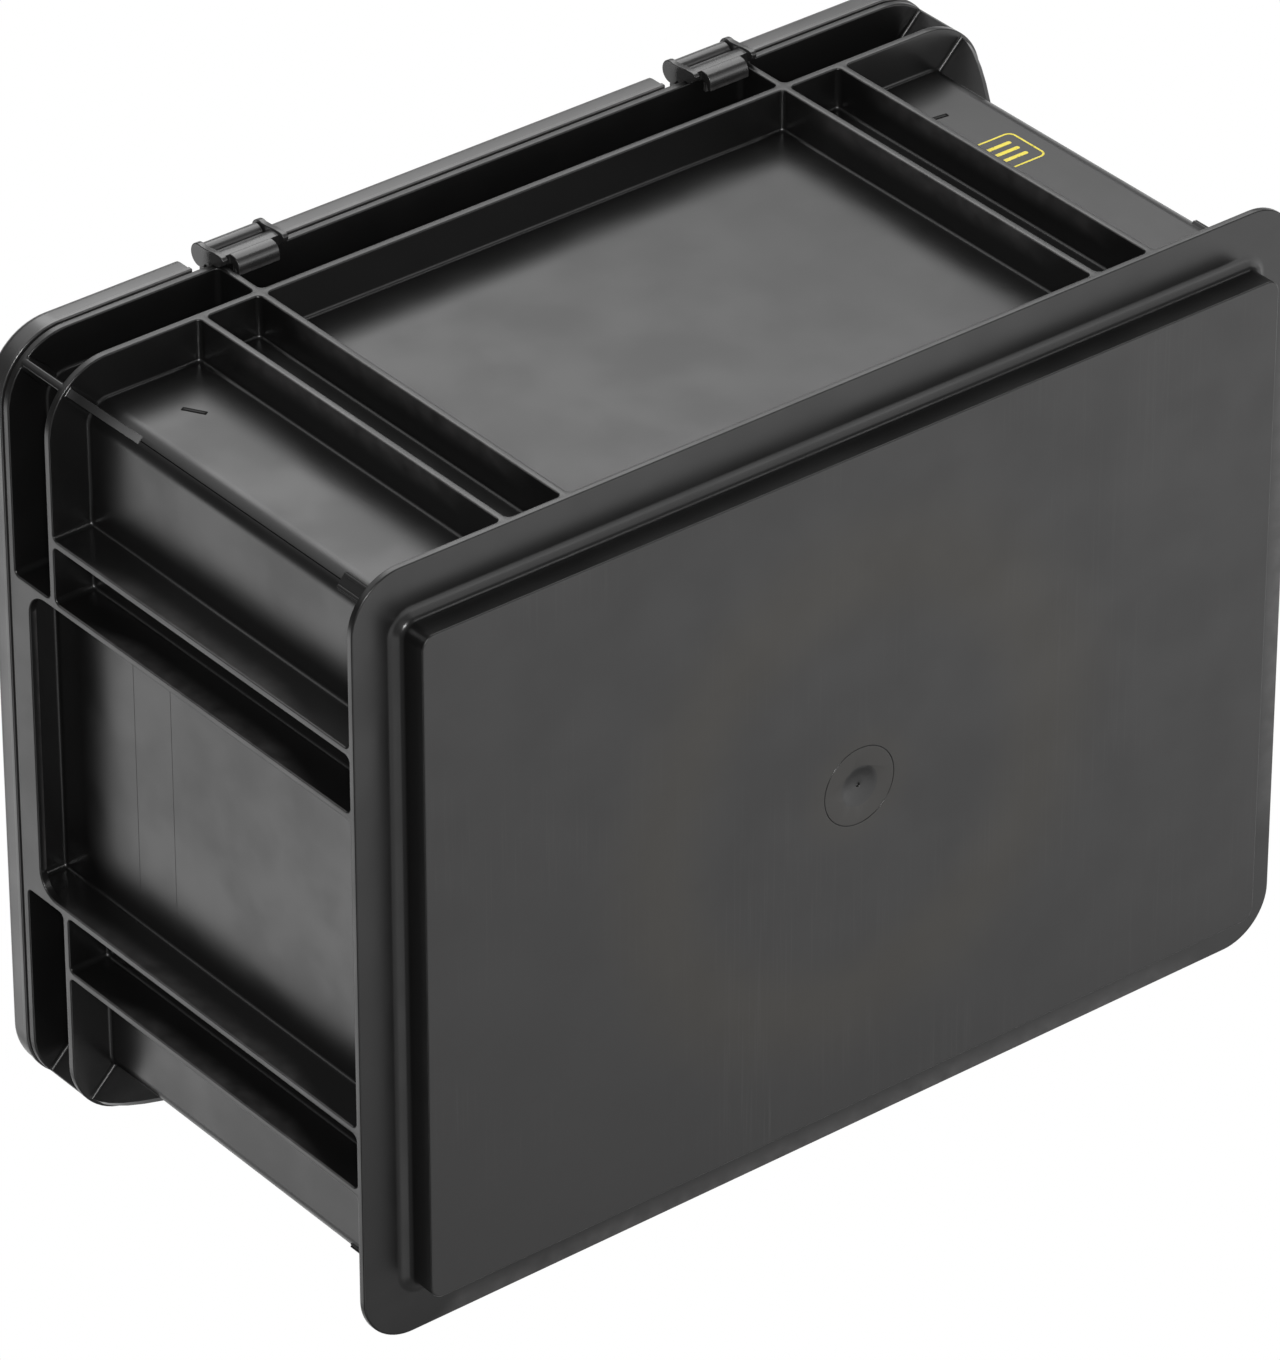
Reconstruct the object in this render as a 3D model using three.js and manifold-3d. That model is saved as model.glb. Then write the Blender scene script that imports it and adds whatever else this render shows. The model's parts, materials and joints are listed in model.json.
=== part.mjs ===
// Lidded stacking tote, 400 x 300 mm: one moulded container, a hinged lid held by two
// clips on the back rim, and two snap latches on the lid's front edge.
// Millimetres, +Z up, origin at the centre of the foot plate. The hinge is at +Y.
import * as THREE from 'three';
import { mergeVertices } from 'three/addons/utils/BufferGeometryUtils.js';
import Module from 'manifold-3d';

const wasm = await Module();
wasm.setup();

const OVERLAP = 0.5;            // how far joined features run into each other
const FIT_GAP = 0.3;            // clearance between separate pieces

// Container plan sizes, as half lengths from the centre.
const RIM = { x: 200, y: 150, r: 25 };
const BASE_FLANGE = { x: 200, y: 150, r: 20 };
const WALL = { x: 184, y: 134, r: 8 };
const FOOT = { x: 181.5, y: 130, r: 5 };
const LEDGE_SLOPE = 3.5;
const UPPER_CAVITY = { x: 181.5, y: 131.5, r: 6 };
const FOOT_CAVITY = { x: 179, y: 127.5, r: 4 };

// Container levels.
const FLOOR_TOP_Z = 2.6;
const FOOT_CAVITY_TOP_Z = 12.8;
const LEDGE_Z = 10.4;
const BASE_FLANGE_Z = [12.7, 15.5];
const LOWER_RIM_Z = [177.4, 180.4];
const UPPER_RIM_Z = [200.6, 203.6];
const GATE_RING = { radius: 15, halfWidth: 0.5, depth: 0.35 };
const GATE_DIMPLE = { radius: 7.8, depth: 0.8, holeRadius: 0.7, holeDepth: 1.5 };

// Stiffening ribs on the outside of the walls.
const RIB_THICK = 2.8;
const LONG_SIDE_RIBS = { inner: 112, outer: 136.7 };
const SHORT_SIDE_RIBS = { inner: 61.8, outer: 86.4 };
const RIB_FLARE = 2.2;
const GUSSET = { wallZ: 151.5, curveZ: 169.5, setback: 1.3 };
const GRIP_SKIN = { thick: 2.8, bottomZ: 192.9, cornerR: 9 };

// Lid.
const LID = { x: 200, y: 150, r: 25 };
const LID_LIP = { x: 200.5, y: 150.5, r: 25.5 };
const LID_LIP_Z = [204.3, 206.2];
const LID_TOP_Z = 214.8;
const LID_EDGE_ROUND = 3.6;
const LID_INNER = { x: 197.6, y: 147.6, r: 22.6 };
const LID_RECESS = { x: 184.5, y: 133, r: 8 };
const LID_RECESS_Z = 212;
const LID_PANEL_UNDER_Z = 209.6;
const LID_BORDER_UNDER_Z = 212.3;
const LID_RIDGE = { x: 180.4, y: 130.4, r: 5 };
const LID_RIDGE_INNER = { x: 178.2, y: 128.2, r: 3 };
const LID_RIDGE_BOTTOM_Z = 198.6;
const LID_RIB = { thick: 2, bottomZ: 204 };

// Hinges: the axis runs along X behind the rim.
const HINGE = { y: 150.5, z: 210.3, x: [-100.7, 100.7] };
const CLIP_LENGTH = 27.4;
const CLIP_END_WIDTH = 2.2;
const CLIP_LEG_WIDTH = 17;
const CLIP_BARB_WIDTH = 14;
const CLIP_KNUCKLE_R = 4.3;
const PIN_SETBACK = 0.8;        // how deep the ends of a hinge pin sit inside the clip
const PIN_R = 1.6;
const BARREL_R = 3.4;
const HINGE_NOTCH = { before: 0.4, after: 6.6, y: 139.6 };
const NOTCH_WALL = 2.4;

// Latches: hinged on the lid at the front.
const LATCH = { y: -146.6, z: 209.6, x: [-100.7, 100.7], width: 40 };
const LATCH_NOTCH_HALF = LATCH.width / 2 + 0.5;
const LATCH_CHEEK = 5;
const LATCH_PIN_BITE = 3.4;

function toSolid(geometry) {
  const bare = geometry.clone();
  bare.deleteAttribute('normal');
  bare.deleteAttribute('uv');
  const merged = mergeVertices(bare, 1e-5);
  return new wasm.Manifold(new wasm.Mesh({
    numProp: 3,
    vertProperties: new Float32Array(merged.attributes.position.array),
    triVerts: new Uint32Array(merged.index.array),
  }));
}

function toMesh(name, solid, color) {
  const raw = solid.getMesh();
  const geometry = new THREE.BufferGeometry();
  geometry.setAttribute('position', new THREE.BufferAttribute(new Float32Array(raw.vertProperties), 3));
  geometry.setIndex(new THREE.BufferAttribute(new Uint32Array(raw.triVerts), 1));
  geometry.computeVertexNormals();
  const material = new THREE.MeshStandardMaterial({ color, roughness: 0.5 });
  material.name = `${name}_plastic`;
  const mesh = new THREE.Mesh(geometry, material);
  mesh.name = name;
  return mesh;
}

function box(x0, x1, y0, y1, z0, z1) {
  const geometry = new THREE.BoxGeometry(x1 - x0, y1 - y0, z1 - z0);
  geometry.translate((x0 + x1) / 2, (y0 + y1) / 2, (z0 + z1) / 2);
  return toSolid(geometry);
}

function roundedOutline({ x, y, r }) {
  const shape = new THREE.Shape();
  shape.absarc(x - r, y - r, r, 0, Math.PI / 2);
  shape.absarc(-x + r, y - r, r, Math.PI / 2, Math.PI);
  shape.absarc(-x + r, -y + r, r, Math.PI, 1.5 * Math.PI);
  shape.absarc(x - r, -y + r, r, 1.5 * Math.PI, 2 * Math.PI);
  shape.closePath();
  return shape;
}

function slab(outline, z0, z1, curveSegments = 8) {
  const geometry = new THREE.ExtrudeGeometry(roundedOutline(outline), {
    depth: z1 - z0, bevelEnabled: false, curveSegments,
  });
  geometry.translate(0, 0, z0);
  return toSolid(geometry);
}

// A prism along X from a profile of [y, z] corners.
function prismAlongX(corners, x0, x1) {
  const shape = new THREE.Shape(corners.map(([y, z]) => new THREE.Vector2(y, z)));
  const geometry = new THREE.ExtrudeGeometry(shape, { depth: x1 - x0, bevelEnabled: false });
  geometry.applyMatrix4(new THREE.Matrix4().makeBasis(
    new THREE.Vector3(0, 1, 0), new THREE.Vector3(0, 0, 1), new THREE.Vector3(1, 0, 0)));
  geometry.translate(x0, 0, 0);
  return toSolid(geometry);
}

function rodAlongX(y, z, radius, x0, x1, segments = 20) {
  const geometry = new THREE.CylinderGeometry(radius, radius, x1 - x0, segments);
  geometry.rotateZ(Math.PI / 2);
  geometry.translate((x0 + x1) / 2, y, z);
  return toSolid(geometry);
}

function joined(solids) {
  return solids.reduce((sum, solid) => sum.add(solid));
}

function cutBy(solid, tools) {
  return tools.reduce((rest, tool) => rest.subtract(tool), solid);
}

// ---- container ----

// The sloping step that widens the foot below the base flange.
function ledge() {
  const height = BASE_FLANGE_Z[0] - LEDGE_Z;
  const geometry = new THREE.ExtrudeGeometry(roundedOutline(FOOT), {
    depth: OVERLAP, bevelEnabled: true, bevelSize: LEDGE_SLOPE, bevelThickness: height,
    bevelSegments: 1, curveSegments: 5,
  });
  geometry.translate(0, 0, LEDGE_Z + height);
  return toSolid(geometry);
}

function containerShell() {
  return joined([
    slab(FOOT, 0, LEDGE_Z + OVERLAP, 5),
    ledge(),
    slab(WALL, BASE_FLANGE_Z[0], UPPER_RIM_Z[1], 4),
    slab(BASE_FLANGE, ...BASE_FLANGE_Z),
    slab(RIM, ...LOWER_RIM_Z),
    slab(RIM, ...UPPER_RIM_Z),
  ]);
}

function containerCavity() {
  return [
    slab(FOOT_CAVITY, FLOOR_TOP_Z, FOOT_CAVITY_TOP_Z + OVERLAP, 3),
    slab(UPPER_CAVITY, FOOT_CAVITY_TOP_Z, UPPER_RIM_Z[1] + 1, 4),
  ];
}

// The lower rim stops at the inner ribs of both short sides, to leave room for the grip.
function gripOpenings() {
  const halfWidth = SHORT_SIDE_RIBS.inner;
  return [-1, 1].map((side) => {
    const x = [side * WALL.x, side * (RIM.x + 1)].sort((a, b) => a - b);
    return box(...x, -halfWidth, halfWidth, LOWER_RIM_Z[0] - 1, LOWER_RIM_Z[1] + 1);
  });
}

// Outline of a rib between two flanges, as seen from outside. Each of its four corners can
// flare into the flange: low and high hold the flare radius on the left and on the right.
function ribOutline(z0, z1, low, high) {
  const half = RIB_THICK / 2;
  const shape = new THREE.Shape();
  shape.moveTo(-half - low[0], z0 - OVERLAP);
  shape.lineTo(half + low[1], z0 - OVERLAP);
  if (low[1]) shape.absarc(half + low[1], z0 + low[1], low[1], 1.5 * Math.PI, Math.PI, true);
  if (high[1]) shape.absarc(half + high[1], z1 - high[1], high[1], Math.PI, 0.5 * Math.PI, true);
  shape.lineTo(half + high[1], z1 + OVERLAP);
  shape.lineTo(-half - high[0], z1 + OVERLAP);
  if (high[0]) shape.absarc(-half - high[0], z1 - high[0], high[0], 0.5 * Math.PI, 0, true);
  if (low[0]) shape.absarc(-half - low[0], z0 + low[0], low[0], 0, -0.5 * Math.PI, true);
  shape.closePath();
  return shape;
}

// Stands an outline on a side of the container: along is the distance from the side's middle,
// and the outline is thickened outwards from depth0 to depth1.
function onSide(outline, turn, along, depth0, depth1) {
  const geometry = new THREE.ExtrudeGeometry(outline, {
    depth: depth1 - depth0, bevelEnabled: false, curveSegments: 4,
  });
  geometry.applyMatrix4(new THREE.Matrix4().makeBasis(
    new THREE.Vector3(0, 1, 0), new THREE.Vector3(0, 0, 1), new THREE.Vector3(1, 0, 0)));
  geometry.translate(depth0, along, 0);
  geometry.rotateZ(turn);
  return toSolid(geometry);
}

function longSideRibs() {
  const both = [RIB_FLARE, RIB_FLARE];
  const bottom = BASE_FLANGE_Z[1];
  const ribs = [];
  for (const turn of [0.5 * Math.PI, 1.5 * Math.PI]) {
    for (const end of [-1, 1]) {
      const reaches = [
        [LONG_SIDE_RIBS.inner, bottom, LOWER_RIM_Z[0]],
        [LONG_SIDE_RIBS.inner, LOWER_RIM_Z[1], UPPER_RIM_Z[0]],
        [LONG_SIDE_RIBS.outer, bottom, LOWER_RIM_Z[0]],
      ];
      for (const [position, z0, z1] of reaches) {
        ribs.push(onSide(ribOutline(z0, z1, both, both), turn, end * position, WALL.y - 1, RIM.y));
      }
    }
  }
  return ribs;
}

// The inner ribs run on straight beside the grip, and flare only on the side of the rim.
function shortSideRibs() {
  const both = [RIB_FLARE, RIB_FLARE];
  const bottom = BASE_FLANGE_Z[1];
  const ribs = [];
  for (const turn of [0, Math.PI]) {
    for (const end of [-1, 1]) {
      const rimSide = end > 0 ? [0, RIB_FLARE] : [RIB_FLARE, 0];
      const reaches = [
        [SHORT_SIDE_RIBS.inner, bottom, LOWER_RIM_Z[0], both, rimSide],
        [SHORT_SIDE_RIBS.inner, LOWER_RIM_Z[0], LOWER_RIM_Z[1], [0, 0], [0, 0]],
        [SHORT_SIDE_RIBS.inner, LOWER_RIM_Z[1], UPPER_RIM_Z[0], rimSide, both],
        [SHORT_SIDE_RIBS.outer, bottom, LOWER_RIM_Z[0], both, both],
      ];
      for (const [position, z0, z1, low, high] of reaches) {
        ribs.push(onSide(ribOutline(z0, z1, low, high), turn, end * position, WALL.x - 1, RIM.x));
      }
    }
  }
  return ribs;
}

// The skin hanging from the upper rim over each grip, rounded into the ribs beside it.
function gripSkins() {
  const half = SHORT_SIDE_RIBS.inner;
  const clear = half - RIB_THICK / 2;
  const r = GRIP_SKIN.cornerR;
  const cornerZ = GRIP_SKIN.bottomZ - r;
  const shape = new THREE.Shape();
  shape.moveTo(-half, UPPER_RIM_Z[0] + OVERLAP);
  shape.lineTo(-half, cornerZ);
  shape.absarc(-clear + r, cornerZ, r, Math.PI, 0.5 * Math.PI, true);
  shape.absarc(clear - r, cornerZ, r, 0.5 * Math.PI, 0, true);
  shape.lineTo(half, cornerZ);
  shape.lineTo(half, UPPER_RIM_Z[0] + OVERLAP);
  shape.closePath();
  return [0, Math.PI].map((turn) => onSide(shape, turn, 0, RIM.x - GRIP_SKIN.thick, RIM.x));
}

// An upright plate at 45 degrees in a corner, from a profile of distances out from the wall's corner.
function cornerPlate(profile, sx, sy) {
  const plate = new THREE.ExtrudeGeometry(profile, {
    depth: RIB_THICK, bevelEnabled: false, curveSegments: 5,
  });
  plate.translate(0, 0, -RIB_THICK / 2);
  plate.rotateX(Math.PI / 2);
  plate.rotateZ(Math.atan2(sy, sx));
  plate.translate(sx * WALL.x, sy * WALL.y, 0);
  return toSolid(plate);
}

// In each corner a web joins the two rims, flush with them, and a curved gusset carries the lower rim.
function cornerGussets() {
  const reach = (outline) => (Math.SQRT2 - 1) * outline.r;
  const wallEdge = -reach(WALL);
  const rimEdge = (RIM.x - WALL.x) * Math.SQRT2 - reach(RIM);
  const freeEdge = rimEdge - GUSSET.setback;
  const root = wallEdge - 3;
  const gusset = new THREE.Shape();
  gusset.moveTo(root, GUSSET.wallZ - 3);
  gusset.lineTo(wallEdge, GUSSET.wallZ);
  gusset.quadraticCurveTo(freeEdge, GUSSET.curveZ, freeEdge, LOWER_RIM_Z[0]);
  gusset.lineTo(freeEdge, LOWER_RIM_Z[0] + OVERLAP);
  gusset.lineTo(root, LOWER_RIM_Z[0] + OVERLAP);
  gusset.closePath();
  const [low, high] = [LOWER_RIM_Z[1] - OVERLAP, UPPER_RIM_Z[0] + OVERLAP];
  const web = new THREE.Shape([
    new THREE.Vector2(root, low), new THREE.Vector2(rimEdge + 2, low),
    new THREE.Vector2(rimEdge + 2, high), new THREE.Vector2(root, high),
  ]);
  const plates = [];
  for (const sx of [-1, 1]) {
    for (const sy of [-1, 1]) {
      plates.push(cornerPlate(gusset, sx, sy));
      plates.push(cornerPlate(web, sx, sy).intersect(slab(RIM, low, high)));
    }
  }
  return plates;
}

function turned(profile, segments) {
  const points = profile.map(([r, z]) => new THREE.Vector2(r, z));
  const geometry = new THREE.LatheGeometry(points, segments);
  geometry.rotateX(Math.PI / 2);
  return toSolid(geometry);
}

// The mark of the mould's gate under the foot: a fine ring round a dimple with a pin hole.
function gateMarks() {
  const { radius, halfWidth, depth } = GATE_RING;
  const below = -1;
  const ring = turned([
    [radius - halfWidth, below], [radius + halfWidth, below], [radius, depth], [radius - halfWidth, below],
  ], 48);
  const dimple = GATE_DIMPLE;
  const cup = turned([
    [0, below], [dimple.radius, below], [dimple.radius, 0], [0.8 * dimple.radius, 0.45 * dimple.depth],
    [0.5 * dimple.radius, 0.85 * dimple.depth], [dimple.holeRadius, dimple.depth],
    [dimple.holeRadius, dimple.holeDepth], [0, dimple.holeDepth],
  ], 32);
  return [ring, cup];
}

function container() {
  const shell = cutBy(containerShell(), gripOpenings());
  const ribbed = joined([
    shell, ...longSideRibs(), ...shortSideRibs(), ...gripSkins(), ...cornerGussets(),
  ]);
  return cutBy(ribbed, [...containerCavity(), ...gateMarks()]);
}

// ---- lid ----

function lidBlank() {
  const inset = { x: LID.x - LID_EDGE_ROUND, y: LID.y - LID_EDGE_ROUND, r: LID.r - LID_EDGE_ROUND };
  const height = LID_TOP_Z - LID_LIP_Z[0];
  const geometry = new THREE.ExtrudeGeometry(roundedOutline(inset), {
    depth: height,
    bevelEnabled: true,
    bevelSize: LID_EDGE_ROUND,
    bevelThickness: LID_EDGE_ROUND,
    bevelSegments: 4,
    curveSegments: 8,
  });
  geometry.translate(0, 0, LID_TOP_Z - LID_EDGE_ROUND - height);
  const above = box(-300, 300, -300, 300, LID_LIP_Z[0], LID_TOP_Z + 5);
  return toSolid(geometry).intersect(above).add(slab(LID_LIP, ...LID_LIP_Z));
}

function lidHollow() {
  const bottom = LID_LIP_Z[0] - 1;
  const underPanel = slab(LID_INNER, bottom, LID_PANEL_UNDER_Z);
  const underBorder = slab(LID_INNER, bottom, LID_BORDER_UNDER_Z)
    .subtract(slab({ x: LID_RECESS.x + 2.4, y: LID_RECESS.y + 2.4, r: LID_RECESS.r + 2.4 },
      bottom - 1, LID_BORDER_UNDER_Z + 1, 5));
  return underPanel.add(underBorder);
}

function lidRidge() {
  return slab(LID_RIDGE, LID_RIDGE_BOTTOM_Z, LID_PANEL_UNDER_Z + OVERLAP, 4)
    .subtract(slab(LID_RIDGE_INNER, LID_RIDGE_BOTTOM_Z - 1, LID_PANEL_UNDER_Z + 1, 3));
}

function lidRibs() {
  const half = LID_RIB.thick / 2;
  const top = LID_PANEL_UNDER_Z + OVERLAP;
  const reachX = LID_RIDGE_INNER.x + OVERLAP;
  const reachY = LID_RIDGE_INNER.y + OVERLAP;
  const across = [-90, 0, 90].map((x) => box(x - half, x + half, -reachY, reachY, LID_RIB.bottomZ, top));
  return [...across, box(-reachX, reachX, -half, half, LID_RIB.bottomZ, top)];
}

// Where the lid stands back to clear the clip on the container's rim.
function hingeNotch(x) {
  return {
    x0: x - CLIP_LENGTH / 2 - HINGE_NOTCH.before,
    x1: x + CLIP_LENGTH / 2 + HINGE_NOTCH.after,
  };
}

function hingeBlock(x) {
  const { x0, x1 } = hingeNotch(x);
  return box(x0 - NOTCH_WALL, x1 + NOTCH_WALL, HINGE_NOTCH.y - NOTCH_WALL, LID_INNER.y + OVERLAP,
    LID_LIP_Z[0], LID_BORDER_UNDER_Z + OVERLAP);
}

function hingeCut(x) {
  const { x0, x1 } = hingeNotch(x);
  return box(x0, x1, HINGE_NOTCH.y, LID.y + 5, LID_LIP_Z[0] - 1, LID_TOP_Z + 1);
}

// The half-eye of the lid that turns on the hinge pin, and the tongue that carries it.
function lidBarrel(x) {
  const half = CLIP_LENGTH / 2 - CLIP_END_WIDTH - FIT_GAP;
  const tongue = box(x - half, x + half, HINGE_NOTCH.y - OVERLAP, HINGE.y,
    HINGE.z, HINGE.z + BARREL_R);
  const eye = rodAlongX(HINGE.y, HINGE.z, BARREL_R, x - half, x + half);
  const bore = rodAlongX(HINGE.y, HINGE.z, PIN_R + FIT_GAP, x - half - 1, x + half + 1);
  return tongue.add(eye).subtract(bore);
}

function latchBlock(x) {
  const half = LATCH_NOTCH_HALF + LATCH_CHEEK;
  return box(x - half, x + half, -LID_INNER.y - OVERLAP, -(HINGE_NOTCH.y - NOTCH_WALL),
    LID_LIP_Z[0], LID_BORDER_UNDER_Z + OVERLAP);
}

function latchCut(x) {
  return box(x - LATCH_NOTCH_HALF, x + LATCH_NOTCH_HALF, -LID.y - 5, -HINGE_NOTCH.y,
    LID_LIP_Z[0] - 1, LID_TOP_Z + 1);
}

function latchPinBore(x) {
  const half = LATCH_NOTCH_HALF + LATCH_PIN_BITE + FIT_GAP;
  return rodAlongX(LATCH.y, LATCH.z, PIN_R + FIT_GAP, x - half, x + half);
}

function lid() {
  const plate = cutBy(lidBlank(), [
    lidHollow(),
    slab(LID_RECESS, LID_RECESS_Z, LID_TOP_Z + 1, 5),
  ]);
  const solid = joined([
    plate, lidRidge(), ...lidRibs(), ...HINGE.x.map(hingeBlock), ...LATCH.x.map(latchBlock),
  ]);
  const notched = cutBy(solid, [
    ...HINGE.x.map(hingeCut), ...LATCH.x.map(latchCut), ...LATCH.x.map(latchPinBore),
  ]);
  return joined([notched, ...HINGE.x.map(lidBarrel)]);
}

// ---- hinge clips, latches and pins ----

// End plate of a clip: a knuckle round the pin and a lobe that reaches down beside the rim.
function clipEnd(x0, x1) {
  return joined([
    rodAlongX(HINGE.y, HINGE.z, CLIP_KNUCKLE_R, x0, x1, 28),
    prismAlongX([
      [148.6, 209], [148.6, 204.4], [150.4, 204.4], [150.4, 199.6], [151.4, 197.8], [152.8, 196.6],
      [154.2, 196.4], [155.1, 197.2], [155.4, 198.6], [155.3, 202], [154.7, 206], [154.5, 210],
    ], x0, x1),
  ]);
}

// The saddle over the rim, between the end plates.
function clipWeb(x0, x1) {
  return prismAlongX([
    [150.4, 199.3], [154.1, 199.3], [154.3, 201.4], [154.1, 203.2], [153.6, 204.6], [153, 205.4],
    [142, 205.4], [142, 203.95], [150.4, 203.95],
  ], x0, x1);
}

// The spring leg that curls in below the rim, with the barb that catches under it.
function clipLeg(x) {
  const half = CLIP_LEG_WIDTH / 2;
  const leg = prismAlongX([
    [150.4, 201], [150.4, 198], [150.1, 196.9], [149.3, 196.1], [147.8, 195.8], [147.8, 194.4],
    [149.8, 194.4], [151.6, 194.7], [152.9, 195.5], [153.7, 196.7], [154, 198.2], [154.1, 201],
  ], x - half, x + half);
  const barb = box(x - CLIP_BARB_WIDTH / 2, x + CLIP_BARB_WIDTH / 2, 145.2, 151, 198.8, 200.2);
  return leg.add(barb);
}

function hingeClip(x) {
  const x0 = x - CLIP_LENGTH / 2;
  const x1 = x + CLIP_LENGTH / 2;
  const solid = joined([
    clipEnd(x0, x0 + CLIP_END_WIDTH),
    clipEnd(x1 - CLIP_END_WIDTH, x1),
    clipWeb(x0, x1),
    clipLeg(x),
  ]);
  return solid.subtract(rodAlongX(HINGE.y, HINGE.z, PIN_R + FIT_GAP, x0 + PIN_SETBACK, x1 - PIN_SETBACK));
}

function hingePin(x) {
  const half = CLIP_LENGTH / 2 - PIN_SETBACK - FIT_GAP;
  return rodAlongX(HINGE.y, HINGE.z, PIN_R, x - half, x + half);
}

function latch(x) {
  const half = LATCH.width / 2;
  const lever = prismAlongX([
    [-150.45, 187.5], [-152.6, 184.4], [-155.4, 183.8], [-155.6, 185], [-153.9, 188.5],
    [-153.6, 204], [-152.2, 211.6], [-149, 213], [-146.6, 213], [-146.6, 206.2], [-149.5, 206.4],
    [-150.45, 204.6],
  ], x - half, x + half);
  const barrel = rodAlongX(LATCH.y, LATCH.z, BARREL_R, x - half, x + half);
  return lever.add(barrel)
    .subtract(rodAlongX(LATCH.y, LATCH.z, PIN_R + FIT_GAP, x - half - 1, x + half + 1));
}

function latchPin(x) {
  const half = LATCH_NOTCH_HALF + LATCH_PIN_BITE;
  return rodAlongX(LATCH.y, LATCH.z, PIN_R, x - half, x + half);
}

const BODY_BLACK = 0x2b2b2c;
const LID_BLACK = 0x39393a;
const CLIP_BLACK = 0x303031;
const PIN_GREY = 0x6b6b6d;

const tote = new THREE.Group();
tote.name = 'attached_lid_tote';
tote.add(toMesh('container_body', container(), BODY_BLACK));
tote.add(toMesh('lid', lid(), LID_BLACK));
for (const [index, side] of ['right', 'left'].entries()) {
  tote.add(toMesh(`hinge_clip_${side}`, hingeClip(HINGE.x[index]), CLIP_BLACK));
  tote.add(toMesh(`hinge_pin_${side}`, hingePin(HINGE.x[index]), PIN_GREY));
  tote.add(toMesh(`latch_${side}`, latch(LATCH.x[index]), CLIP_BLACK));
  tote.add(toMesh(`latch_pin_${side}`, latchPin(LATCH.x[index]), PIN_GREY));
}

export default tote;
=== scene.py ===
"""Looks of the attached lid tote: rounded mouldings, worn black plastic, lights and camera."""
import json
import math

import bmesh
import bpy
from mathutils import Matrix, Vector
from mathutils.bvhtree import BVHTree

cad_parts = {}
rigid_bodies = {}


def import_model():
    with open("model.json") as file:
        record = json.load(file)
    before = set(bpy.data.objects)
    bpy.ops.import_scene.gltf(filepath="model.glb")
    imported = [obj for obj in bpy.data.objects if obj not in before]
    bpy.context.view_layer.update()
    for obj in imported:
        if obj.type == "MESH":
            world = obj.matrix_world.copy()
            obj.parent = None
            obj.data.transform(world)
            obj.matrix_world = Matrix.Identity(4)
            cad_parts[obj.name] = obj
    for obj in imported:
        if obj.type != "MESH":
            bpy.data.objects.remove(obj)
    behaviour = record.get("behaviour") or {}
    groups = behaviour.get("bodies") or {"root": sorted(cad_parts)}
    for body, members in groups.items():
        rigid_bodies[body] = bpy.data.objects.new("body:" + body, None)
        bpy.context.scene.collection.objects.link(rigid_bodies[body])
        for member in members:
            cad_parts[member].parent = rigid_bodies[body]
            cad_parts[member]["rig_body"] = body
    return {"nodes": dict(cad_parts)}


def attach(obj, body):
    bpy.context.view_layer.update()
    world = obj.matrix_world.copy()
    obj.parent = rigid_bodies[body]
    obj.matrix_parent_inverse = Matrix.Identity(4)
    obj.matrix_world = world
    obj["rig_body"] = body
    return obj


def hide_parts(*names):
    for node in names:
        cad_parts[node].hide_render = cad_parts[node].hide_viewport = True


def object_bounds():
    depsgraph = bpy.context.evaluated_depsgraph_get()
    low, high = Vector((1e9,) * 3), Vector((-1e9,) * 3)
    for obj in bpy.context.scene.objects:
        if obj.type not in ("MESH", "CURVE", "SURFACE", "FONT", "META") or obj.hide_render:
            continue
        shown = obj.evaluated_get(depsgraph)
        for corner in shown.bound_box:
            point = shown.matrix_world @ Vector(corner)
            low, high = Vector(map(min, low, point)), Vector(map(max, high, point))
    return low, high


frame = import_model()
cad_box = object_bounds()

MM = 0.001

# Where the container's ribs and flanges are, in millimetres from its centre or its foot.
LONG_SIDE_RIBS = (112, 136.7)
SHORT_SIDE_RIBS = (61.8, 86.4)
FLANGE_LEVELS = (14.1, 178.9, 202.1)
WALL_CORNER = (176, 126)
CLIP_X = 100.7

# Further places where big faces are cut, in millimetres, so that their bevels stay even.
CONTAINER_CUTS = {"x": 160, "y": 110, "z": (60, 140)}
LID_CUTS = {"x": (45, 90, 150), "y": (64, 120)}

# Edges that turn by more than this many degrees are rounded, over less than half of the room
# beside them, so that two roundings on one face never meet.
SHARP_ANGLE = 28
SHARE_OF_ROOM = 0.45

# Small marks on the back wall, in millimetres: x and z, and for a slot mark its tilt in degrees.
SLOT_MARKS = {
    "slot_mark_left": (159, 152.3, -59),
    "slot_mark_right": (-157.4, 150.6, -7),
}
FOOT_SLOT_MARK = (1, 31)
PRINTED_MARK = (-161, 117.5)

# Heights of the lines on the side wall, and of the lines and pads on the wall corners.
WITNESS_LINES = (156.7, 135.8)
PARTING_LINE_Z = 96
CORNER_TAB_Z = 29

# A ray that looks for a wall starts this far out, in millimetres, where nothing is in its way.
WELL_OUTSIDE = 300

# How far the marks, lines and prints reach into their wall, in millimetres, so that no gap shows.
MARK_ROOT = 0.1
LINE_ROOT = 0.03
PRINT_ROOT = 0.02

# The camera's turn and tilt in degrees, its distance and sideways offset in metres, and its lens.
CAMERA_YAW = 38.53
CAMERA_PITCH = 32.75
CAMERA_DISTANCE = 3.2087
CAMERA_OFFSET = (-0.0063, -0.01, 0)
CAMERA_LENS = 248.9

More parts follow.
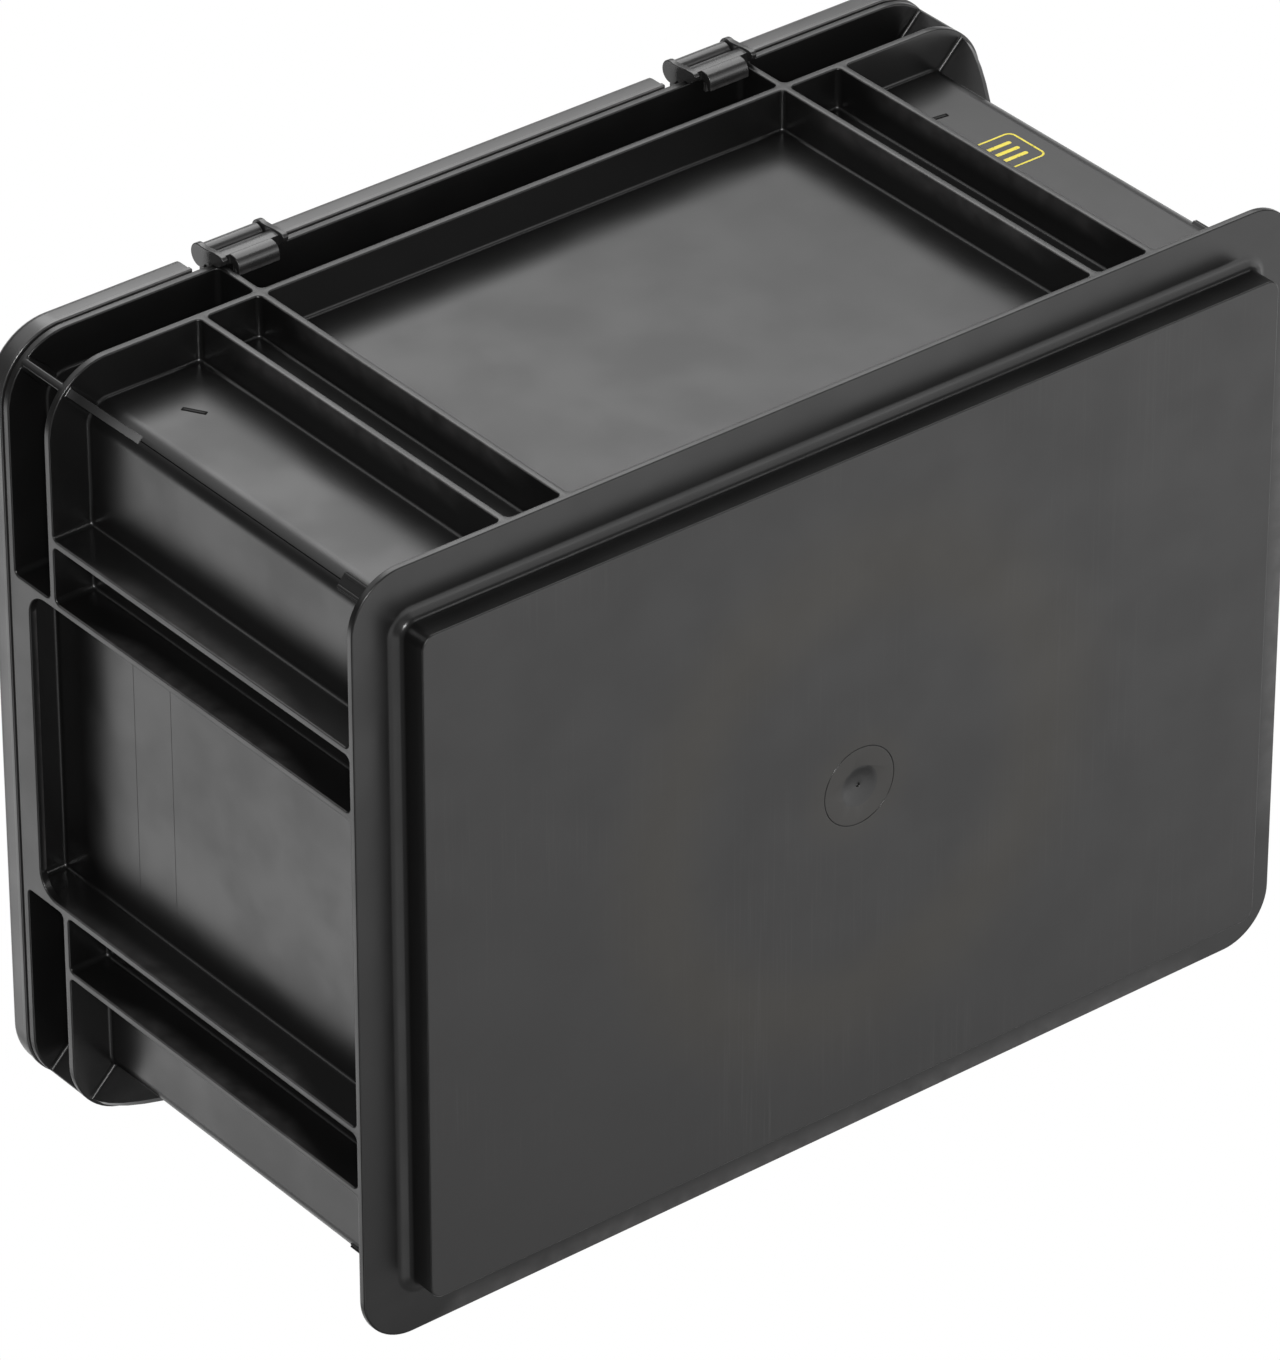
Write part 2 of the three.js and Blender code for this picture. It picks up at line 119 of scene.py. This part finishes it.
# Each soft box has the normal of the surface that mirrors it into the camera, how much it leans
# towards that normal, its target's shift from the tote's centre, its distance and size in metres,
# and its watts.
SOFT_BOXES = {
    "back_wall_box": ((0, 1, 0), 0.8, (-0.25, 0, 0), 2.5, (2.4, 2.4), 48),
    "side_wall_box": ((1, 0, 0), 0.2, (0.18, 0, 0), 1.3, (0.9, 0.7), 3.5),
    "foot_box": ((0, 0, -1), 0.0, (0, 1.3, 0), 2.5, (3.6, 2.4), 34),
    "corner_box": ((0.45, 0.89, 0), 0.0, (0, 0, 0), 2.5, (3.9, 1.2), 15),
    "side_ledge_box": ((0.55, 0, -0.84), 0.0, (0, 0, 0), 2.5, (1.4, 1.4), 6),
    "back_ledge_box": ((0, 0.55, -0.84), 0.0, (0, 0, 0), 2.5, (1.4, 1.4), 6),
}
CAMERA_LAMP_WATTS = 60

# How bright the plastic sees the room: all round, about the dark flag's direction, and behind
# the tote.
ROOM_LIGHT = 0.24
DARK_FLAG = (0.75, 0.07, 0.66)
FLAG_LIGHT = 0.14
BACKDROP_LIGHT = 1.0

# Half the floor's width, and how far it lies below the tote, in metres.
FLOOR_REACH = 3
FLOOR_GAP = 0.0002


# ---------------------------------------------------------------- rounded mouldings


def both_sides(*values):
    """The places with their mirror images, in order."""
    return sorted({side * value for value in values for side in (-1, 1)})


def middle(pair):
    return sum(pair) / len(pair)


def split(mesh, axis, places):
    """Cuts the mesh along planes, so that no face is so big that its bevels go wrong."""
    for place in places:
        normal, point = Vector(), Vector()
        normal[axis] = 1
        point[axis] = place * MM
        everything = mesh.verts[:] + mesh.edges[:] + mesh.faces[:]
        made = bmesh.ops.bisect_plane(
            mesh, geom=everything, dist=1e-7, plane_co=point, plane_no=normal
        )
        for part in made["geom_cut"]:
            if isinstance(part, bmesh.types.BMEdge):
                part.seam = True


def inward_from(edge, face):
    """The direction along the face, square to the edge, that points into the face."""
    for loop in edge.link_loops:
        if loop.face == face:
            along = loop.link_loop_next.vert.co - loop.vert.co
            return face.normal.cross(along.normalized())
    return Vector()


def room_beside(edge, face, sharp):
    """How far the face runs from the edge before it meets another sharp edge."""
    start, end = (vertex.co for vertex in edge.verts)
    along = (end - start).normalized()
    inward = inward_from(edge, face)
    room = 1.0
    for share in (0.25, 0.5, 0.75):
        here = start.lerp(end, share)
        for other in face.edges:
            if other is edge:
                continue
            a, b = (vertex.co - here for vertex in other.verts)
            ax, bx = a.dot(along), b.dot(along)
            ay, by = a.dot(inward), b.dot(inward)
            same_side = (ax > 1e-7 and bx > 1e-7) or (ax < -1e-7 and bx < -1e-7)
            if same_side or abs(bx - ax) < 1e-9:
                continue
            reach = ay - ax / (bx - ax) * (by - ay)
            if reach < 1e-6:
                continue
            if other in sharp:
                room = min(room, reach)
            elif abs(by - ay) < 0.5 * abs(bx - ax):
                room = min(room, 2 * reach)
    return room


def chains(mesh, sharp):
    """Groups sharp edges that run on into each other, so that each group gets one radius."""
    leader = {edge: edge for edge in sharp}

    def find(edge):
        while leader[edge] is not edge:
            leader[edge] = leader[leader[edge]]
            edge = leader[edge]
        return edge

    for vertex in mesh.verts:
        here = [edge for edge in vertex.link_edges if edge in sharp]
        if len(here) == 2 and here[0].is_convex == here[1].is_convex:
            leader[find(here[0])] = find(here[1])
    groups = {}
    for edge in sharp:
        groups.setdefault(find(edge), []).append(edge)
    return groups.values()


def weigh_edges(mesh, outer, inner):
    """Gives each sharp edge its share of the largest radius, less where there is little room."""
    weight = mesh.edges.layers.float.new("bevel_weight_edge")
    largest = max(outer, inner)
    sharp = {
        edge
        for edge in mesh.edges
        if edge.is_manifold and abs(edge.calc_face_angle_signed(0)) > math.radians(SHARP_ANGLE)
    }
    for chain in chains(mesh, sharp):
        wanted = (outer if chain[0].is_convex else inner) * MM
        room = min(room_beside(edge, face, sharp) for edge in chain for face in edge.link_faces)
        for edge in chain:
            edge[weight] = min(wanted, SHARE_OF_ROOM * room) / (largest * MM)


def round_edges(piece, radius):
    """Bevels the weighed edges, then splits and shades the faces so that flat ones look flat."""
    bevel = piece.modifiers.new("rounding", "BEVEL")
    bevel.width = radius * MM
    bevel.segments = 3
    bevel.limit_method = "WEIGHT"
    bevel.use_clamp_overlap = False
    bevel.miter_outer = "MITER_SHARP"
    bevel.offset_type = "OFFSET"
    triangles = piece.modifiers.new("triangles", "TRIANGULATE")
    triangles.ngon_method = "CLIP"
    triangles.quad_method = "SHORTEST_DIAGONAL"
    triangles.min_vertices = 5
    shading = piece.modifiers.new("even_shading", "WEIGHTED_NORMAL")
    shading.weight = 100


def moulded(node, body, material, outer, inner, cuts=((), (), ())):
    """A rounded piece that stands for a CAD node: outer and inner are the edge radii in mm."""
    mesh = bmesh.new()
    mesh.from_mesh(frame["nodes"][node].data)
    bmesh.ops.remove_doubles(mesh, verts=mesh.verts, dist=2e-6)
    for axis, places in enumerate(cuts):
        split(mesh, axis, places)
    bmesh.ops.dissolve_limit(
        mesh, angle_limit=math.radians(0.6), verts=mesh.verts, edges=mesh.edges, delimit={"SEAM"}
    )
    mesh.normal_update()
    weigh_edges(mesh, outer, inner)
    for face in mesh.faces:
        face.smooth = True
    piece = add_piece(node + "_moulding", mesh, body, material)
    round_edges(piece, max(outer, inner))
    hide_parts(node)
    return piece


def add_piece(name, mesh, body, material):
    """Puts a finished mesh in the scene, riding on a body of the frame."""
    data = bpy.data.meshes.new(name)
    mesh.to_mesh(data)
    mesh.free()
    data.materials.append(material)
    piece = bpy.data.objects.new(name, data)
    bpy.context.scene.collection.objects.link(piece)
    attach(piece, body)
    return piece


# ---------------------------------------------------------------- material nodes


class Nodes:
    """A material with short ways to add shader nodes and to join them."""

    def __init__(self, name):
        self.material = bpy.data.materials.new(name)
        self.material.use_nodes = True
        self.tree = self.material.node_tree
        self.shader = self.tree.nodes["Principled BSDF"]
        self.place = self.add("ShaderNodeTexCoord").outputs["Object"]

    def put(self, socket, value):
        """Sets a socket to a plain value, or joins it to another node's output."""
        if isinstance(value, bpy.types.NodeSocket):
            self.tree.links.new(value, socket)
        else:
            socket.default_value = value

    def add(self, kind, inputs=None, **settings):
        """A new node with its settings and its inputs, by name or number."""
        node = self.tree.nodes.new(kind)
        for key, value in settings.items():
            setattr(node, key, value)
        for key, value in (inputs or {}).items():
            self.put(node.inputs[key], value)
        return node

    def math(self, operation, a, b):
        return self.add("ShaderNodeMath", {0: a, 1: b}, operation=operation).outputs[0]

    def times(self, a, b):
        return self.math("MULTIPLY", a, b)

    def plus(self, a, b):
        return self.math("ADD", a, b)

    def fit(self, value, low, high, to_low, to_high):
        """Eases a value from one range into another, and holds it at the ends."""
        inputs = {0: value, 1: low, 2: high, 3: to_low, 4: to_high}
        return self.add("ShaderNodeMapRange", inputs, interpolation_type="SMOOTHSTEP").outputs[0]

    def noise(self, scale, detail=2, stretch=(1, 1, 1), turn=(0, 0, 0), shift=0):
        """Noise with this many cells to the metre. A shift makes it differ from other noise."""
        location = (shift, shift, shift)
        moved = self.add(
            "ShaderNodeMapping",
            {"Vector": self.place, "Location": location, "Rotation": turn, "Scale": stretch},
        )
        node = self.add(
            "ShaderNodeTexNoise", {"Vector": moved.outputs[0], "Scale": scale, "Detail": detail}
        )
        return node.outputs["Fac"]

    def blend(self, share, a, b):
        """A colour between a, where the share is 0, and b, where it is 1."""
        node = self.add("ShaderNodeMix", {0: share, 6: a, 7: b}, data_type="RGBA")
        return node.outputs[2]

    def bump(self, height, distance, under=None):
        """Bumps this high, in metres, on top of others where there are some."""
        inputs = {"Height": height, "Distance": distance, "Strength": 1.0}
        if under is not None:
            inputs["Normal"] = under
        return self.add("ShaderNodeBump", inputs).outputs["Normal"]

    def finish(self, colour, roughness, normal):
        """Joins the three results to the shader, and gives the material."""
        self.put(self.shader.inputs["Base Color"], colour)
        self.put(self.shader.inputs["Roughness"], roughness)
        self.put(self.shader.inputs["Normal"], normal)
        return self.material


def grey(value):
    """A grey that is very slightly warm, as the black plastic is."""
    return (1.03 * value, value, value, 1)


def scratches(nodes, turns, threshold):
    """Fine straight marks: stretched noise in several directions, only its peaks kept."""
    marks = 0.0
    for number, turn in enumerate(turns):
        streaks = nodes.noise(900, 2, (1, 0.012, 1), (0, 0, math.radians(turn)), 3.7 * number)
        peaks = nodes.fit(streaks, threshold, threshold + 0.08, 0, 1)
        marks = nodes.math("MAXIMUM", marks, peaks)
    patches = nodes.fit(nodes.noise(14, 3, shift=9), 0.42, 0.62, 0, 1)
    return nodes.times(marks, patches)


def gate_flow(nodes):
    """The faint ring and spot that the plastic leaves as it spreads from the gate, by radius."""
    spread = nodes.add("ShaderNodeVectorMath", {0: nodes.place, 1: (1, 1, 0)}, operation="MULTIPLY")
    length = nodes.add("ShaderNodeVectorMath", {0: spread.outputs[0]}, operation="LENGTH")
    wobble = nodes.times(nodes.noise(9, 2, shift=2), 0.03)
    radius = nodes.plus(length.outputs["Value"], wobble)
    rise = nodes.fit(radius, 0.07, 0.1, 0, 1)
    fall = nodes.fit(radius, 0.1, 0.135, 1, 0)
    spot = nodes.fit(radius, 0.03, 0.042, 0.6, 0)
    return nodes.plus(nodes.times(rise, fall), spot)


def rub_edges(nodes, colour, worn):
    """Paler plastic where the outer edges are rubbed."""
    edge = nodes.add("ShaderNodeNewGeometry").outputs["Pointiness"]
    rubbed = nodes.times(nodes.fit(edge, 0.53, 0.62, 0, worn), nodes.noise(160, 4, shift=4))
    return nodes.blend(rubbed, colour, grey(0.12))


def show_gate_flow(nodes, colour, rough):
    """A brown tint and a duller skin where the plastic flowed from the gate."""
    flow = gate_flow(nodes)
    colour = nodes.blend(nodes.times(flow, 0.22), colour, (0.046, 0.038, 0.024, 1))
    return colour, nodes.plus(rough, nodes.times(flow, 0.03))


def scuff(nodes, colour, rough):
    """Pale dull scratches from being slid about."""
    marks = scratches(nodes, (12, -31, 58, 83), 0.62)
    colour = nodes.blend(nodes.times(marks, 0.25), colour, grey(0.05))
    return colour, nodes.plus(rough, nodes.times(marks, 0.08))


def plastic(name, shade, roughness, wave, grain, worn=0.0, underside=False, shine=0.5):
    """Moulded plastic: clouded colour, uneven gloss, and waves and a fine grain this high in mm."""
    nodes = Nodes(name)
    cloud = nodes.noise(11, 4)
    colour = nodes.blend(cloud, grey(0.75 * shade), grey(1.25 * shade))
    rough = nodes.fit(nodes.noise(35, 5, shift=1), 0.3, 0.7, roughness - 0.04, roughness + 0.04)
    if worn:
        colour = rub_edges(nodes, colour, worn)
    if underside:
        colour, rough = show_gate_flow(nodes, colour, rough)
        colour, rough = scuff(nodes, colour, rough)
    normal = nodes.bump(nodes.noise(13, 2, shift=6), wave * MM)
    normal = nodes.bump(nodes.noise(1500, 2, shift=7), grain * MM, normal)
    nodes.shader.inputs["IOR"].default_value = 1.5
    nodes.shader.inputs["Specular IOR Level"].default_value = shine
    return nodes.finish(colour, rough, normal)


def printed_ink(name):
    """Yellow pad-printed ink, thin enough in places for the black to show."""
    nodes = Nodes(name)
    missing = nodes.fit(nodes.noise(700, 4), 0.6, 0.72, 0, 0.8)
    colour = nodes.blend(missing, (0.72, 0.6, 0.04, 1), (0.1, 0.09, 0.02, 1))
    rough = nodes.fit(nodes.noise(300, 3, shift=2), 0.3, 0.7, 0.4, 0.6)
    return nodes.finish(colour, rough, nodes.bump(nodes.noise(1200, 2), 0.02 * MM))


def one_sided_floor():
    """A pale floor that only shows from above, because the camera looks up from under it."""
    nodes = Nodes("pale_floor")
    shade = nodes.blend(nodes.noise(2, 3), (0.78, 0.78, 0.77, 1), (0.82, 0.82, 0.81, 1))
    nodes.put(nodes.shader.inputs["Base Color"], shade)
    nodes.shader.inputs["Roughness"].default_value = 0.8
    clear = nodes.add("ShaderNodeBsdfTransparent").outputs[0]
    below = nodes.add("ShaderNodeNewGeometry").outputs["Backfacing"]
    mixed = nodes.add("ShaderNodeMixShader", {0: below, 1: nodes.shader.outputs[0], 2: clear})
    nodes.put(nodes.tree.nodes["Material Output"].inputs["Surface"], mixed.outputs[0])
    return nodes.material


# ---------------------------------------------------------------- small moulded details


def surface_of(node):
    """A test of where a ray meets a CAD node, to put details on its real surface."""
    mesh = bmesh.new()
    mesh.from_mesh(frame["nodes"][node].data)
    tree = BVHTree.FromBMesh(mesh)
    mesh.free()
    return tree


def placement(tree, start, towards, up):
    """A matrix on the surface that a ray meets: its local Z stands out of the surface."""
    point, normal, _, _ = tree.ray_cast(Vector(start) * MM, Vector(towards))
    across = Vector(up).cross(normal).normalized()
    upward = normal.cross(across)
    turned = Matrix((across, upward, normal)).transposed().to_4x4()
    turned.translation = point
    return turned


def rounded(length, width, radius, steps=5):
    """The outline of a rectangle with round corners, in millimetres, about its centre."""
    points = []
    for quarter, (right, top) in enumerate(((1, 1), (-1, 1), (-1, -1), (1, -1))):
        for step in range(steps + 1):
            angle = math.radians(90 * (quarter + step / steps))
            x = right * (length / 2 - radius) + radius * math.cos(angle)
            y = top * (width / 2 - radius) + radius * math.sin(angle)
            points.append((x, y))
    return points


def outline_ring(mesh, outer, inner, low, high):
    """A closed raised frame between two outlines that have the same number of points."""
    rings = [
        [mesh.verts.new((x * MM, y * MM, z * MM)) for x, y in outline]
        for outline, z in ((outer, low), (outer, high), (inner, high), (inner, low))
    ]
    count = len(outer)
    for ring, after in zip(rings, rings[1:] + rings[:1]):
        for here in range(count):
            there = (here + 1) % count
            mesh.faces.new((ring[here], ring[there], after[there], after[here]))


def plate(mesh, outline, low, high):
    """A closed flat plate with the outline, from low to high."""
    bottom = [mesh.verts.new((x * MM, y * MM, low * MM)) for x, y in outline]
    top = [mesh.verts.new((x * MM, y * MM, high * MM)) for x, y in outline]
    mesh.faces.new(top)
    mesh.faces.new(bottom[::-1])
    for here in range(len(outline)):
        there = (here + 1) % len(outline)
        mesh.faces.new((bottom[here], bottom[there], top[there], top[here]))


def fix(name, mesh, where, material):
    """Puts a small detail made about the origin in its place on the container."""
    bmesh.ops.recalc_face_normals(mesh, faces=mesh.faces)
    mesh.transform(where)
    return add_piece(name, mesh, "container", material)


def turned_by(where, degrees):
    """The same place, turned on its surface."""
    return where @ Matrix.Rotation(math.radians(degrees), 4, "Z")


def slot_mark(name, where, length, bar_black, groove_shade_black):
    """The mark of a small mould insert: a narrow bar inside a dark, dull frame, which is painted
    shade for the groove all round the insert.
    """
    width = 2.1
    # The frame is a thin raised sheet of dark, dull plastic: painted shade where the real insert
    # has a recessed groove.
    joint = bmesh.new()
    plate(joint, rounded(length, width, 0.3), -MARK_ROOT, 0.03)
    fix(name + "_groove_shade", joint, where, groove_shade_black)
    bar = bmesh.new()
    plate(bar, rounded(length - 1.4, width - 1.2, 0.2), -MARK_ROOT, 0.08)
    fix(name + "_bar", bar, where, bar_black)


def printed_mark(name, where, side, ink):
    """A plain printed square with three bars, in place of the maker's printed warning."""
    mesh = bmesh.new()
    line, radius, tall = 0.8, 3, 0.04
    inside = rounded(side - 2 * line, side - 2 * line, radius - line)
    outline_ring(mesh, rounded(side, side, radius), inside, -PRINT_ROOT, tall)
    for row in (-1, 0, 1):
        bar = [(x, y + row * side / 4.5) for x, y in rounded(side * 0.55, 1.8, 0.8)]
        plate(mesh, bar, -PRINT_ROOT, tall)
    fix(name, mesh, where, ink)


def hairline(name, where, length, width, tall, material):
    """A fine straight line from a joint in the mould, as a low ridge."""
    mesh = bmesh.new()
    half = width / 2
    ends = []
    for end in (-length / 2, length / 2):
        corners = ((-half, -LINE_ROOT), (half, -LINE_ROOT), (0, tall))
        ends.append([mesh.verts.new((end * MM, y * MM, z * MM)) for y, z in corners])
    mesh.faces.new(ends[0])
    mesh.faces.new(ends[1][::-1])
    for here in range(3):
        there = (here + 1) % 3
        mesh.faces.new((ends[0][here], ends[0][there], ends[1][there], ends[1][here]))
    fix(name, mesh, where, material)


def corner_tab(name, where, material):
    """A raised pad with two ridges, low on a wall corner, deep enough to follow its curve."""
    width, length, depth, tall = 6.6, 27, 1.5, 0.3
    mesh = bmesh.new()
    plate(mesh, rounded(width, length, 1.2), -depth, tall)
    for side in (-1, 1):
        ridge = [(x + side * width / 3, y) for x, y in rounded(1.2, length - 1, 0.55)]
        plate(mesh, ridge, 0.25, 0.9)
    piece = fix(name, mesh, where, material)
    bevel = piece.modifiers.new("rounding", "BEVEL")
    bevel.width = 0.3 * MM
    bevel.segments = 2


# ---------------------------------------------------------------- stage


def aim(forward):
    """The turn that makes a camera or light look forward, kept upright along Y."""
    right = forward.cross(Vector((0, 1, 0))).normalized()
    up = right.cross(forward)
    return Matrix((right, up, -forward)).transposed().to_4x4()


def line_of_sight():
    """The direction that the camera looks in."""
    yaw, pitch = math.radians(CAMERA_YAW), math.radians(CAMERA_PITCH)
    return Vector(
        (-math.sin(yaw) * math.cos(pitch), -math.sin(pitch), math.cos(yaw) * math.cos(pitch))
    )


def add_camera(centre, forward):
    """A long lens that looks up at the foot, the hinge side and one short side."""
    turn = aim(forward)
    place = centre - forward * CAMERA_DISTANCE + turn.to_3x3() @ Vector(CAMERA_OFFSET)
    camera = bpy.data.objects.new("camera", bpy.data.cameras.new("camera"))
    bpy.context.scene.collection.objects.link(camera)
    camera.matrix_world = Matrix.Translation(place) @ turn
    camera.data.sensor_width = 36
    camera.data.lens = CAMERA_LENS
    camera.data.clip_end = 50
    bpy.context.scene.camera = camera


def add_light(name, target, towards, distance, size, watts):
    """A soft box at a distance from the target, facing it and unseen by the camera."""
    data = bpy.data.lights.new(name, "AREA")
    data.shape = "RECTANGLE"
    data.size, data.size_y = size
    data.energy = watts
    light = bpy.data.objects.new(name, data)
    bpy.context.scene.collection.objects.link(light)
    towards = towards.normalized()
    light.matrix_world = Matrix.Translation(target + towards * distance) @ aim(-towards)
    light.visible_camera = False


def mirrored(direction, normal):
    """The direction that a line of sight leaves in, off a surface with this normal."""
    return direction - 2 * direction.dot(normal) * normal


def world_patch(tree, way, direction, edge, levels):
    """Light that changes about a direction, between the two cosines of its edge."""
    along = tree.nodes.new("ShaderNodeVectorMath")
    along.operation = "DOT_PRODUCT"
    along.inputs[1].default_value = direction
    tree.links.new(way, along.inputs[0])
    patch = tree.nodes.new("ShaderNodeMapRange")
    patch.interpolation_type = "SMOOTHSTEP"
    for number, value in enumerate((*edge, *levels), start=1):
        patch.inputs[number].default_value = value
    tree.links.new(along.outputs["Value"], patch.inputs[0])
    return patch.outputs[0]


def add_world(forward):
    """White to the camera. To the tote, a dim room with a dark flag and a bright backdrop."""
    world = bpy.data.worlds.new("studio")
    world.use_nodes = True
    tree = world.node_tree
    tree.nodes.clear()
    way = tree.nodes.new("ShaderNodeTexCoord").outputs["Generated"]
    flagged = world_patch(tree, way, DARK_FLAG, (0.62, 0.95), (ROOM_LIGHT, FLAG_LIGHT))
    backdrop = world_patch(tree, way, forward, (0.6, 0.85), (0, BACKDROP_LIGHT))
    shade = tree.nodes.new("ShaderNodeMath")
    shade.operation = "MAXIMUM"
    tree.links.new(flagged, shade.inputs[0])
    tree.links.new(backdrop, shade.inputs[1])
    room = tree.nodes.new("ShaderNodeBackground")
    tree.links.new(shade.outputs[0], room.inputs["Strength"])
    seen = tree.nodes.new("ShaderNodeBackground")
    seen.inputs["Strength"].default_value = 1.0
    path = tree.nodes.new("ShaderNodeLightPath")
    mixed = tree.nodes.new("ShaderNodeMixShader")
    tree.links.new(path.outputs["Is Camera Ray"], mixed.inputs[0])
    for slot, background in ((1, room), (2, seen)):
        background.inputs["Color"].default_value = (1, 1, 1, 1)
        tree.links.new(background.outputs[0], mixed.inputs[slot])
    output = tree.nodes.new("ShaderNodeOutputWorld")
    tree.links.new(mixed.outputs[0], output.inputs["Surface"])
    bpy.context.scene.world = world


def add_lights(centre, forward):
    """The soft boxes, and a lamp beside the camera."""
    for name, (normal, lean, shift, distance, size, watts) in SOFT_BOXES.items():
        normal = Vector(normal).normalized()
        towards = mirrored(forward, normal) + lean * normal
        add_light(name, centre + Vector(shift), towards, distance, size, watts)
    add_light("camera_side_lamp", centre, -forward, 3, (0.3, 0.3), CAMERA_LAMP_WATTS)


def add_floor(level):
    """A floor that is seen, but leaves the light on the tote alone."""
    mesh = bmesh.new()
    bmesh.ops.create_grid(mesh, x_segments=1, y_segments=1, size=FLOOR_REACH)
    data = bpy.data.meshes.new("floor")
    mesh.to_mesh(data)
    mesh.free()
    floor = bpy.data.objects.new("floor", data)
    bpy.context.scene.collection.objects.link(floor)
    floor.location.z = level - FLOOR_GAP
    data.materials.append(one_sided_floor())
    floor.visible_glossy = False
    floor.visible_diffuse = False
    floor.visible_transmission = False
    floor.visible_shadow = False


def add_stage():
    """Camera, lights, room and floor."""
    low, high = cad_box
    centre = (low + high) / 2
    forward = line_of_sight()
    add_floor(low.z)
    add_camera(centre, forward)
    add_lights(centre, forward)
    add_world(forward)
    bpy.context.scene.view_settings.view_transform = "Standard"


# ---------------------------------------------------------------- the tote


def face_material(piece, material, wanted):
    """Gives a further material to the faces of the piece that pass a test."""
    piece.data.materials.append(material)
    number = len(piece.data.materials) - 1
    for face in piece.data.polygons:
        if wanted(face):
            face.material_index = number


def build_container(black, foot_black):
    """The container, whose underside has its own scuffed finish."""
    cuts = (
        both_sides(0, *LONG_SIDE_RIBS, middle(LONG_SIDE_RIBS), CONTAINER_CUTS["x"]),
        both_sides(0, *SHORT_SIDE_RIBS, middle(SHORT_SIDE_RIBS), CONTAINER_CUTS["y"]),
        (*FLANGE_LEVELS, *CONTAINER_CUTS["z"]),
    )
    piece = moulded(
        "container_body", "container", black, outer=0.6, inner=1.3, cuts=cuts
    )
    foot = cad_box[0].z + 0.1 * MM
    face_material(piece, foot_black, lambda face: face.center.z < foot and face.normal.z < -0.9)


def build_lid(black):
    cuts = (both_sides(0, CLIP_X, *LID_CUTS["x"]), both_sides(0, *LID_CUTS["y"]), ())
    moulded("lid", "lid", black, outer=0.6, inner=0.9, cuts=cuts)


def build_small_parts(clip_black, pin_black):
    """The clips, the latches and all the pins. A clip is also cut through its middle."""
    clip_middles = {"hinge_clip_left": CLIP_X, "hinge_clip_right": -CLIP_X}
    for node in sorted(frame["nodes"]):
        body = frame["nodes"][node]["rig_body"]
        if "pin" in node:
            moulded(node, body, pin_black, outer=0.3, inner=0.3)
        elif node in clip_middles:
            cuts = ([clip_middles[node]], (), ())
            moulded(node, body, clip_black, outer=0.3, inner=0.5, cuts=cuts)
        elif node.startswith("latch_"):
            moulded(node, body, clip_black, outer=0.4, inner=0.4)


def mark_back_wall(walls, bar_black, groove_shade_black, ink):
    """The three insert marks and the print on the hinge side."""

    def on_wall(x, z):
        return placement(walls, (x, WELL_OUTSIDE, z), towards=(0, -1, 0), up=(0, 0, 1))

    for name, (x, z, tilt) in SLOT_MARKS.items():
        slot_mark(name, turned_by(on_wall(x, z), tilt), 9, bar_black, groove_shade_black)
    slot_mark("slot_mark_foot", on_wall(*FOOT_SLOT_MARK), 6, bar_black, groove_shade_black)
    printed_mark("printed_mark", on_wall(*PRINTED_MARK), 20, ink)


def mark_side_wall(walls, black):
    """Two level lines across the short side."""
    for number, z in enumerate(WITNESS_LINES):
        where = placement(walls, (WELL_OUTSIDE, 0, z), towards=(-1, 0, 0), up=(0, 0, 1))
        hairline(f"witness_line_{number}", where, 96, 0.3, 0.1, black)


def mark_corners(walls, black, groove_shade_black):
    """A parting line and a pad with ridges on each of the four wall corners."""
    for number, (side, end) in enumerate(((1, 1), (-1, 1), (-1, -1), (1, -1))):
        outside = (side * (WALL_CORNER[0] + WELL_OUTSIDE), end * (WALL_CORNER[1] + WELL_OUTSIDE))

        def on_corner(z):
            return placement(walls, (*outside, z), towards=(-side, -end, 0), up=(0, 0, 1))

        line = turned_by(on_corner(PARTING_LINE_Z), 90)
        # The parting line is a low ridge in the dark, dull groove material: painted shade, for the
        # shade in a fine groove.
        hairline(f"parting_line_{number}", line, 110, 0.5, 0.06, groove_shade_black)
        corner_tab(f"corner_tab_{number}", on_corner(CORNER_TAB_Z), black)


def build_tote():
    """Every piece of the tote, with its finish."""
    black = plastic("black_plastic", 0.004, 0.33, wave=0.13, grain=0.003, worn=0.5)
    foot_black = plastic("foot_plastic", 0.012, 0.42, wave=0.15, grain=0.008, underside=True)
    lid_black = plastic(
        "lid_plastic_look", 0.014, 0.32, wave=0.13, grain=0.003, worn=0.5, shine=0.85
    )
    clip_black = plastic(
        "clip_plastic_look", 0.014, 0.28, wave=0.12, grain=0.004, worn=0.5, shine=0.7
    )
    pin_black = plastic("pin_plastic_look", 0.012, 0.3, wave=0.1, grain=0.004)
    # Dark, dull plastic for the grooves round the inserts and along the parting lines: painted
    # shade, as the real grooves are dark for being recessed.
    groove_shade_black = plastic("painted_groove_shade_plastic", 0.003, 0.7, wave=0.1, grain=0.004, shine=0.05)
    bar_black = plastic("slot_bar_plastic", 0.004, 0.5, wave=0.1, grain=0.004, shine=0.15)

    build_container(black, foot_black)
    build_lid(lid_black)
    build_small_parts(clip_black, pin_black)
    walls = surface_of("container_body")
    mark_back_wall(walls, bar_black, groove_shade_black, printed_ink("yellow_ink"))
    mark_side_wall(walls, black)
    mark_corners(walls, black, groove_shade_black)


build_tote()
add_stage()
